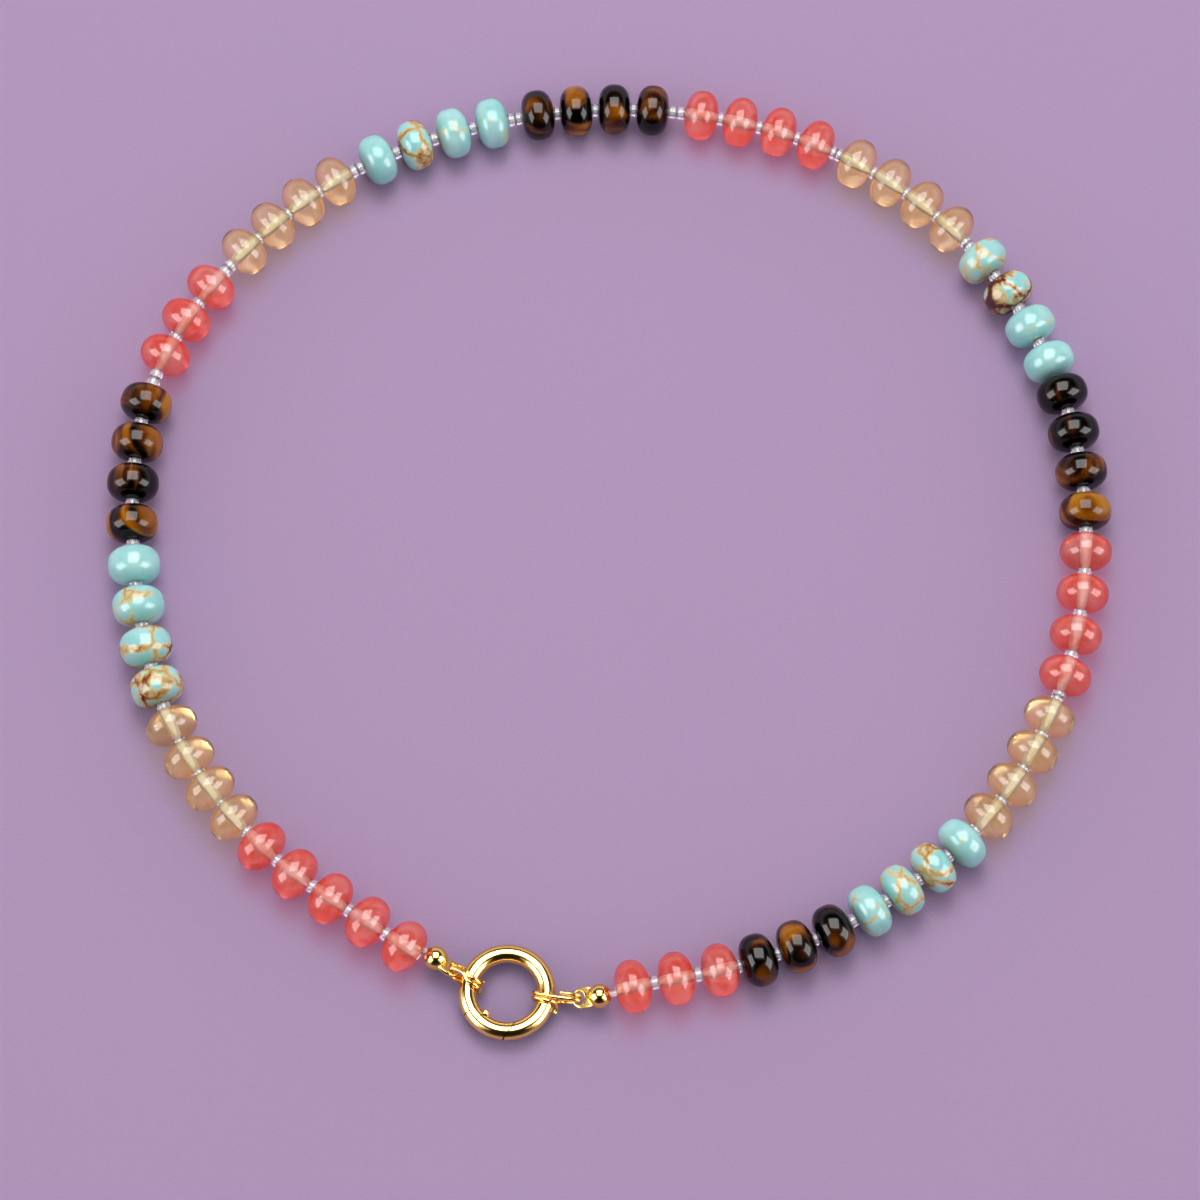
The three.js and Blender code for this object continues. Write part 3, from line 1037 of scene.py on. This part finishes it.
def darken_seams(piece, sawn):
    """Gives the sawn faces, apart from the hinge's, the near-black finish painted as shade in the
    seams. They lie inside the tube or are turned away from its skin."""
    piece.data.materials.append(sawn)
    middle = ring_middle()
    pin = pin_place()
    for face in piece.data.polygons:
        place = face.center / MILLIMETRE - middle
        core = place.xy.normalized() * RING_RADIUS
        outward = place - Vector((core.x, core.y, 0))
        inside = outward.length < TUBE_RADIUS - 0.03
        across = face.normal.dot(outward.normalized()) < 0.9
        hinge = (place.xy - pin.xy).length < KNUCKLE_RADIUS + 0.05
        face.material_index = int((inside or across) and not hinge)


def domed_post(pin):
    """The post for the hinge's two ears, with its ends rounded over."""
    ears = post(KNUCKLE_RADIUS, -EAR_TOP, EAR_TOP, pin)
    edit(ears, "EDGE")
    select_edges(ears, lambda p, q: abs(p.z - q.z) < 0.1)
    bpy.ops.mesh.bevel(offset=0.4, segments=6, affect="EDGES")
    bpy.ops.object.mode_set(mode="OBJECT")
    return ears


def make_ring(gold, sawn):
    ring = make_tube()
    opening = gate_zone(0)
    cut(opening, gate_reach(0), "INTERSECT")
    cut(ring, opening)
    pin = pin_place()
    cut(ring, domed_post(pin), "UNION")
    cut(ring, post(KNUCKLE_RADIUS + SEAM, -KNUCKLE_HALF - SEAM, KNUCKLE_HALF + SEAM, pin))
    cut(ring, post(PIN_RADIUS, -EAR_TOP, EAR_TOP, pin, sides=24), "UNION")
    # The vent that lets the hollow tube dry after plating.
    vent = VENT_REACH * Vector((math.cos(VENT_ANGLE), math.sin(VENT_ANGLE), 0))
    cut(ring, post(VENT_RADIUS, 0.5, 2, vent, sides=16))
    ring.name = ring.data.name = "ring_tube"
    finish_metal(ring, gold)
    darken_seams(ring, sawn)
    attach(ring, "strand")
    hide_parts("clasp_ring")


def make_gate(gold, sawn):
    gate = make_tube()
    cut(gate, gate_zone(SEAM), "INTERSECT")
    cut(gate, gate_reach(-SEAM), "INTERSECT")
    pin = pin_place()
    cut(gate, post(KNUCKLE_RADIUS, -KNUCKLE_HALF, KNUCKLE_HALF, pin), "UNION")
    cut(gate, post(KNUCKLE_RADIUS + SEAM, KNUCKLE_HALF, 3, pin))
    cut(gate, post(KNUCKLE_RADIUS + SEAM, -3, -KNUCKLE_HALF, pin))
    cut(gate, post(PIN_HOLE_RADIUS, -3, 3, pin, sides=24))
    gate.name = gate.data.name = "spring_gate"
    finish_metal(gate, gold)
    darken_seams(gate, sawn)
    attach(gate, "gate")
    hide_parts("clasp_gate")


WIRE_RADIUS = 0.30535
WIRE_PITCH = 0.7
LINKS = [
    {
        "name": "link_left",
        "tube_angle": 159,
        "heading": 156.4,
        "leans": (-8, 47),
        "belt": (2.05, -0.05, 3.06, 0.4, 0.9),
        "first_end": [],
        "starts_at": 4,
        "sense": 1,
        "steps": 28,
        "drift": 1,
        "last_end": [(-2.1, 1.2, -0.35), (-2.15, 1.35, -0.75)],
    },
    {
        "name": "link_right",
        "tube_angle": -5.9,
        "heading": -5.8,
        "leans": (0, 0),
        "belt": (1.87, -0.2, 4.85, 0.4, 0.92),
        "first_end": [(1.9, 0.35, 1.7)],
        "starts_at": 13,
        "sense": -1,
        "steps": 27,
        "drift": -1,
        "last_end": [
            (1.05, -1.1, 1.55),
            (1.5, -1.25, 1.0),
            (1.62, -1.6, 0.35),
            (1.5, -2.1, -0.05),
            (1.42, -2.5, -0.15),
        ],
    },
]


def link_way(link):
    """The way of a link's wire, in (along, side, up) from the middle of the ring's tube. One turn
    is a belt of two arcs, round the tube and through the eye, and each time the wire crosses the
    tube it moves sideways by a pitch, so that the turns lie side by side."""
    around, tube_shift, eye_reach, eye_rise, eye_radius = link["belt"]
    eye_middle = eye_reach - eye_radius
    leave = math.acos((around - eye_radius) / (eye_middle - tube_shift))
    belt = []
    for k in range(9):
        angle = leave + k / 8 * 2 * (math.pi - leave)
        belt.append((tube_shift + around * math.cos(angle), around * math.sin(angle)))
    for k in range(5):
        angle = -leave + k / 4 * 2 * leave
        belt.append((eye_middle + eye_radius * math.cos(angle), eye_radius * math.sin(angle)))
    points = [Vector(point) for point in link["first_end"]]
    at = link["starts_at"]
    crossed = 0.0
    tube_lean, eye_lean = link["leans"]
    for _ in range(link["steps"] + 1):
        along, up = belt[at]
        share = max(along, 0) / eye_reach
        lean = math.radians(tube_lean + share * (eye_lean - tube_lean))
        point = Vector((along, link["drift"] * WIRE_PITCH * (crossed - 0.5), up))
        point = Matrix.Rotation(lean, 3, "X") @ point
        point.z += share * eye_rise
        points.append(point)
        following = (at + link["sense"]) % len(belt)
        if at <= 4 and following <= 4:
            crossed += 0.25
        at = following
    points += [Vector(point) for point in link["last_end"]]
    return smooth_way(points, 8)


def make_link(link, gold):
    piece = wire(f"{link['name']}_wire", link_way(link), WIRE_RADIUS, 5, round_ends=True)
    angle = math.radians(link["tube_angle"])
    stand = Vector((RING_RADIUS * math.cos(angle), RING_RADIUS * math.sin(angle), 0))
    turn = Matrix.Rotation(math.radians(link["heading"]), 4, "Z")
    finish_metal(piece, gold, Matrix.Translation(stand) @ turn)
    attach(piece, "strand")
    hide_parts(link["name"])


BALL_RADIUS = 1.8
MOUTH_RADIUS = 0.62
TAB_RADIUS = 1.65
TAB_HALF = 0.3
TAB_REACH = 2.4
EYE_HALVES = (0.78, 1.05)
EYE_REACH = 2.95
# Each ball's name, its place from the ring's middle, and its turns about X, Y and Z in degrees.
END_BALLS = [
    ("end_ball_left", (-10.52, 4.92, 0.97), (-42, 12, -34)),
    ("end_ball_right", (13.55, -0.82, 1.1), (0, 12, 185)),
]


def ball_stand(place, turns):
    """A ball's place: its mouth looks along -X and its tab along X."""
    roll, pitch, yaw = [math.radians(turn) for turn in turns]
    turn = Matrix.Rotation(yaw, 4, "Z") @ Matrix.Rotation(pitch, 4, "Y")
    return Matrix.Translation(place) @ turn @ Matrix.Rotation(roll, 4, "X")


def cord_way(string):
    """The cord's way, from inside the left ball through every bead and into the right ball."""
    ends = []
    for _, place, turns in END_BALLS:
        stand = Matrix.Translation(ring_middle()) @ ball_stand(place, turns)
        ends.append([stand @ Vector((-1.2, 0, 0)), stand @ Vector((-1.9, 0, 0))])
    last = int(string.lengths[-1])
    inside = [string.at(k)[0] for k in range(1, last - 1)]
    return smooth_way([*ends[0], *inside, *reversed(ends[1])], 2)


def make_tab():
    """The ball's drilled tab: a flat disc drawn out into the ball, with an oval eye."""
    disc = post(TAB_RADIUS, -TAB_HALF, TAB_HALF, Vector((TAB_REACH, 0, 0)), sides=64)
    hold_shape(disc)
    edit(disc, "VERT")
    mesh = bmesh.from_edit_mesh(disc.data)
    for vertex in mesh.verts:
        vertex.select_set(vertex.co.x < TAB_REACH - 0.01)
    bmesh.update_edit_mesh(disc.data)
    bpy.ops.transform.resize(value=(2, 1, 1), center_override=(TAB_REACH, 0, 0))
    bpy.ops.object.mode_set(mode="OBJECT")
    eye = post(1.0, -1, 1)
    eye.scale = (*EYE_HALVES, 1)
    eye.location = (EYE_REACH, 0, 0)
    hold_shape(eye)
    cut(disc, eye)
    apply_modifier(
        disc, "BEVEL", width=0.17, segments=4, limit_method="ANGLE", angle_limit=math.radians(60)
    )
    return disc


def make_end_ball(name, place, turns, gold):
    start_fresh()
    bpy.ops.mesh.primitive_uv_sphere_add(segments=64, ring_count=32, radius=BALL_RADIUS)
    ball = bpy.context.object
    cut(ball, make_tab(), "UNION")
    mouth = post(MOUTH_RADIUS, -2.5, -1.0, sides=32)
    mouth.rotation_euler = (0, math.pi / 2, 0)
    hold_shape(mouth)
    cut(ball, mouth)
    ball.name = ball.data.name = name.replace("end_ball", "ball_end")
    finish_metal(ball, gold, ball_stand(place, turns))
    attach(ball, "strand")
    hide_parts(name)


# ---- The studio ----


def add_softbox(name, towards, distance, size, radiance, seen_in=("matt", "gloss", "glass")):
    """A softbox that faces the necklace, and what it is seen in. Its power follows from how
    bright its face is."""
    light = bpy.data.lights.new(name, "AREA")
    light.size = size
    light.energy = radiance * math.pi * size * size
    lamp = bpy.data.objects.new(name, light)
    bpy.context.collection.objects.link(lamp)
    towards = Vector(towards).normalized()
    lamp.location = distance * towards
    lamp.rotation_euler = towards.to_track_quat("Z", "Y").to_euler()
    lamp.visible_diffuse = "matt" in seen_in
    lamp.visible_glossy = "gloss" in seen_in
    lamp.visible_transmission = "glass" in seen_in
    # A lamp that only lights is sampled straight, so that all its light passes through the glass.
    light.cycles.use_multiple_importance_sampling = "gloss" in seen_in


def add_studio():
    start_fresh()
    bpy.ops.mesh.primitive_plane_add(size=4)
    floor = bpy.context.object
    floor.name = "floor"
    floor.data.materials.append(lilac_card())
    # The key light, three reflected panels, each with a dimmer, wider diffuser behind it, and
    # fill light from above and from both sides.
    add_softbox("key", (0.0, 0.5, 0.87), 0.9, 0.5, 4.5, ("matt",))
    above, left, right = (0.0, 0.225, 0.975), (-0.8, -0.33, 0.5), (0.8, -0.33, 0.5)
    add_softbox("softbox_above", above, 0.9, 0.74, 6.0, ("gloss", "glass"))
    add_softbox("softbox_left", left, 0.9, 0.62, 6.0, ("gloss",))
    add_softbox("softbox_right", right, 0.9, 0.62, 6.0, ("gloss",))
    add_softbox("fill_above", (0.0, 0.0, 1.0), 1.1, 1.3, 0.65, ("matt",))
    add_softbox("fill_left", left, 1.1, 1.0, 0.6, ("matt",))
    add_softbox("fill_right", right, 1.1, 1.0, 0.6, ("matt",))
    add_softbox("diffuser_above", above, 1.0, 1.15, 0.5)
    add_softbox("diffuser_left", left, 1.0, 1.0, 0.5)
    add_softbox("diffuser_right", right, 1.0, 1.0, 0.5)
    # A dim room with pale walls, dark overhead and dark low down in front, where the camera is.
    world = bpy.data.worlds.new("studio")
    bpy.context.scene.world = world
    world.use_nodes = True
    tree = world.node_tree
    tree.nodes.clear()
    place = add_node(tree, "ShaderNodeTexCoord").outputs["Generated"]
    height = add_node(tree, "ShaderNodeSeparateXYZ", {"Vector": place})
    walls = add_node(
        tree,
        "ShaderNodeValToRGB",
        {"Fac": height.outputs["Z"]},
        stops=[(0.0, "#E9E2EC"), (0.3, "#D9D2DC"), (0.55, "#3A3640"), (1.0, "#262429")],
    )
    behind = add_node(
        tree,
        "ShaderNodeMapRange",
        {"Value": height.outputs["Y"], "From Min": -0.85, "From Max": -0.35, "To Min": 0.06},
    )
    background = add_node(tree, "ShaderNodeBackground", {"Color": walls, "Strength": behind})
    add_node(tree, "ShaderNodeOutputWorld", {"Surface": background})
    bpy.context.scene.view_settings.view_transform = "Standard"
    # The lamps' light already passes the glass, so it isn't counted again as caustics.
    bpy.context.scene.cycles.caustics_refractive = False
    bpy.context.scene.cycles.caustics_reflective = False


# ---- The whole necklace ----

add_camera()
add_studio()

string = String()
gold = polished_gold_plate()
finishes = {
    "coral": coral_glass(),
    "citrine": citrine_crystal(),
    "turquoise": turquoise_in_matrix(),
    "tigers_eye": polished_tigers_eye(),
}
bores = {
    "coral": drilled_bore("drilled_coral", "#F8F8FF", 0.15),
    "citrine": drilled_bore("drilled_citrine", "#FFF3E6", 0.4),
    "turquoise": drilled_bore("drilled_turquoise", "#9AD2CB", 0.0),
    "tigers_eye": drilled_bore("drilled_tigers_eye", "#6B4A2A", 0.0),
}
masters = {stone: make_rondelle(fullness) for stone, fullness in FULLNESS.items()}
gaps = string_runs(string, finishes, bores, masters)
for master in masters.values():
    bpy.data.objects.remove(master)
fill_gaps(string, gaps, seed_bead_glass())
cord = wire("stretch_cord", cord_way(string), CORD_RADIUS, 3)
set_in_place(cord)
cord.data.materials.append(clear_stretch_cord())
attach(cord, "strand")

sawn = sawn_brass_painted_shade()
make_ring(gold, sawn)
make_gate(gold, sawn)
for link in LINKS:
    make_link(link, gold)
for name, place, turns in END_BALLS:
    make_end_ball(name, place, turns, gold)
